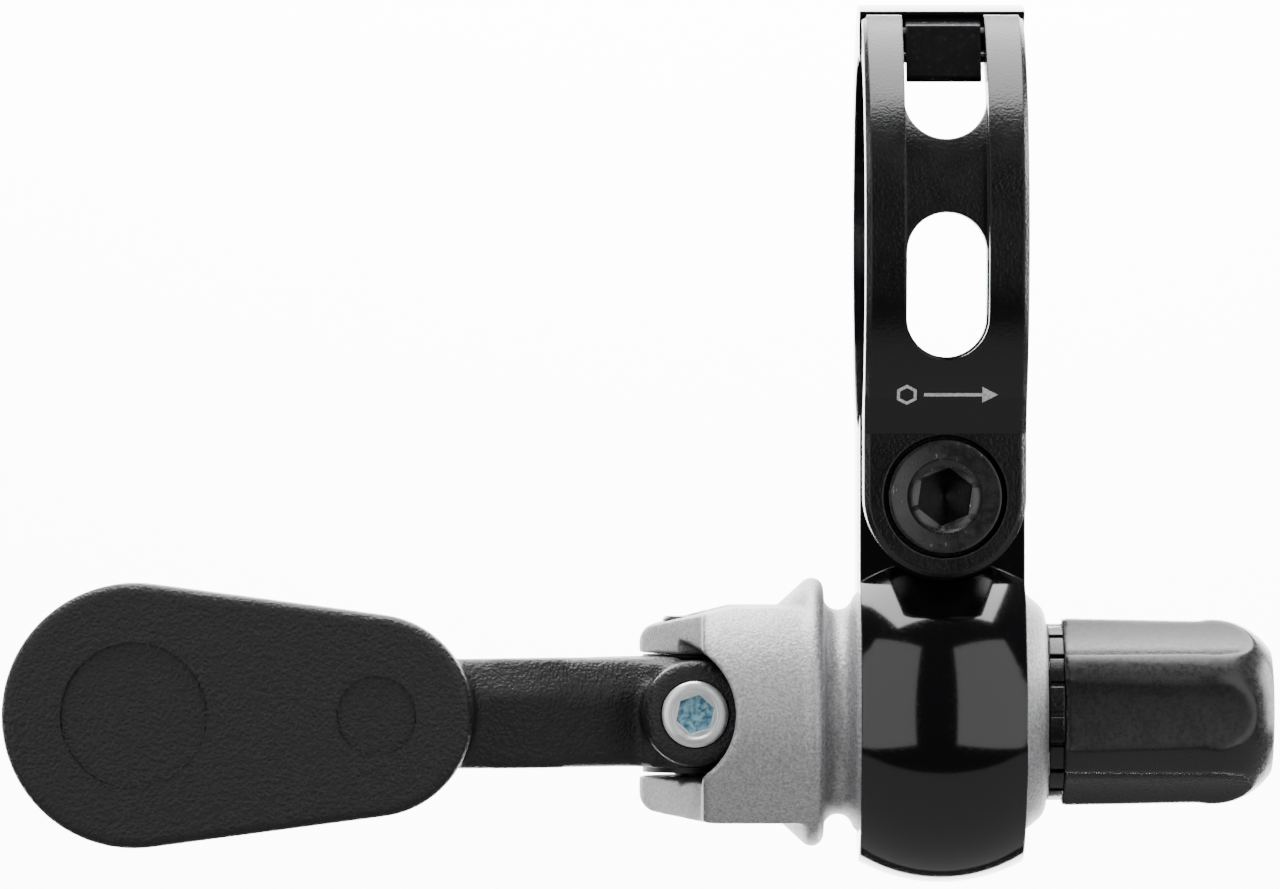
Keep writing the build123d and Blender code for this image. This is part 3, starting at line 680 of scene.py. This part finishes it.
# An M4 set screw holds the cable in the boss. It is bright zinc plated, and a dry blue
# thread-locking compound has run into its 2 mm hexagon and dried in creases from the middle.

pinch_low, pinch_high = [[c / MM for c in corner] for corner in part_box("pinch_screw")]
pinch_x = (pinch_low[0] + pinch_high[0]) / 2
pinch_length = pinch_high[1] - pinch_low[1]
screw = rod(
    "pinch_screw_body", (pinch_x, pinch_low[1] + pinch_length / 2 + 0.1, cable_z), 1.96,
    pinch_length - 0.2, "Y", 128,
)
select_faces(screw, lambda middle, normal: normal.y < -0.9)
step_in((0.2, 0.17), (0.3, 0.03), (0.12, -0.16), (0.1, 0.0))
cut(screw, hexagon("hex_socket", (pinch_x, pinch_low[1] + 0.8, cable_z), 2.05, 2.4, 12))
apply_modifier(
    screw, "BEVEL", width=0.11 * MM, segments=4, limit_method="ANGLE",
    angle_limit=math.radians(35),
)
smooth_by_angle(screw, 35)
zinc, zinc_shader = material("zinc_plated_steel", "#f6f7f8", 0.34, metallic=0.8)
place = node(zinc, "ShaderNodeTexCoord").outputs["Object"]
# plating over turned steel: broad dull patches and short bright scuffs
cloud = node(zinc, "ShaderNodeTexNoise", [("Vector", place)], Scale=1 / (0.5 * MM), Detail=4.0)
milky = node(
    zinc, "ShaderNodeMapRange", [("Value", cloud.outputs["Fac"])],
    From_Min=0.3, From_Max=0.7, To_Min=0.26, To_Max=0.44,
)
zinc.node_tree.links.new(milky.outputs["Result"], zinc_shader.inputs["Roughness"])
scuffed = node(
    zinc, "ShaderNodeBump", [("Height", cloud.outputs["Fac"])],
    Strength=0.5, Distance=0.03 * MM,
)
zinc.node_tree.links.new(scuffed.outputs["Normal"], zinc_shader.inputs["Normal"])
finish_with(screw, zinc)
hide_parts("pinch_screw")

compound = add_mesh(
    bpy.ops.mesh.primitive_circle_add, "thread_lock", vertices=48, radius=1.17 * MM,
    fill_type="TRIFAN", rotation=(math.pi / 2, 0, 0),
    location=(pinch_x * MM, (pinch_low[1] + 0.42) * MM, cable_z * MM),
)
settle(compound)
bpy.ops.object.mode_set(mode="EDIT")
bpy.ops.mesh.select_all(action="SELECT")
bpy.ops.mesh.subdivide(number_cuts=4)
bpy.ops.object.mode_set(mode="OBJECT")
# 11 creases run out from the middle, which sits deepest
for corner in compound.data.vertices:
    x, z = corner.co.x / MM - pinch_x, corner.co.z / MM - cable_z
    radius, turn = math.hypot(x, z), math.atan2(z, x)
    corner.co.y += MM * (0.25 * (1 - radius) + 0.09 * radius * abs(math.sin(5.5 * turn)))
apply_modifier(compound, "SOLIDIFY", thickness=0.2 * MM, offset=-1)
locked, locked_shader = material("thread_lock_blue", "#3f7f9c", 0.28, ior=1.5)
place = node(locked, "ShaderNodeTexCoord").outputs["Object"]
mottle = node(locked, "ShaderNodeTexNoise", [("Vector", place)], Scale=1 / (0.3 * MM), Detail=3.0)
blue = node(locked, "ShaderNodeValToRGB", [("Fac", mottle.outputs["Fac"])])
blue.color_ramp.elements[0].position, blue.color_ramp.elements[0].color = 0.35, linear("#2f6580")
blue.color_ramp.elements[1].position, blue.color_ramp.elements[1].color = 0.65, linear("#8cc0d2")
locked.node_tree.links.new(blue.outputs["Color"], locked_shader.inputs["Base Color"])
finish_with(compound, locked)
for piece in (screw, compound):
    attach(piece, "pinch")

# ---------------------------------------------------------------- adjuster barrel

# The barrel is turned from aluminium bar with a milled edge of small notches on its collar, and
# anodised black, with the same satin finish as the clamp's front strap.

finish_with(nodes["adjuster_barrel"], satin)

# ---------------------------------------------------------------- adjuster cover

# A push-on sleeve moulded in soft black nitrile rubber, with eight finger flutes. The mould was
# polished, so it is glossy, and the soft rubber rounds every edge.

cover = softened_copy("adjuster_sleeve", nodes["adjuster_cover"], 0.12, lambda x, y, z: True, 8)
rubber, rubber_shader = material("nitrile_rubber_black", "#222223", 0.26, ior=1.52)
place = node(rubber, "ShaderNodeTexCoord").outputs["Object"]
# a slow ripple from the mould and a bloom that dulls it in soft patches about 2 mm across
ripple = node(rubber, "ShaderNodeTexNoise", [("Vector", place)], Scale=1 / (1.8 * MM), Detail=2.0)
bloom = node(rubber, "ShaderNodeTexNoise", [("Vector", place)], Scale=1 / (0.3 * MM), Detail=4.0)
dull = node(
    rubber, "ShaderNodeMapRange", [("Value", bloom.outputs["Fac"])],
    From_Min=0.35, From_Max=0.75, To_Min=0.24, To_Max=0.36,
)
rubber.node_tree.links.new(dull.outputs["Result"], rubber_shader.inputs["Roughness"])
rippled = node(
    rubber, "ShaderNodeBump", [("Height", ripple.outputs["Fac"])],
    Strength=0.5, Distance=0.06 * MM,
)
rubber.node_tree.links.new(rippled.outputs["Normal"], rubber_shader.inputs["Normal"])
finish_with(cover, rubber)
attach(cover, "adjuster")
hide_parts("adjuster_cover")

# ---------------------------------------------------------------- adjuster spring

# A short coil of zinc plated wire presses the collar so that it holds its place when set.

finish_with(nodes["adjuster_spring"], zinc)
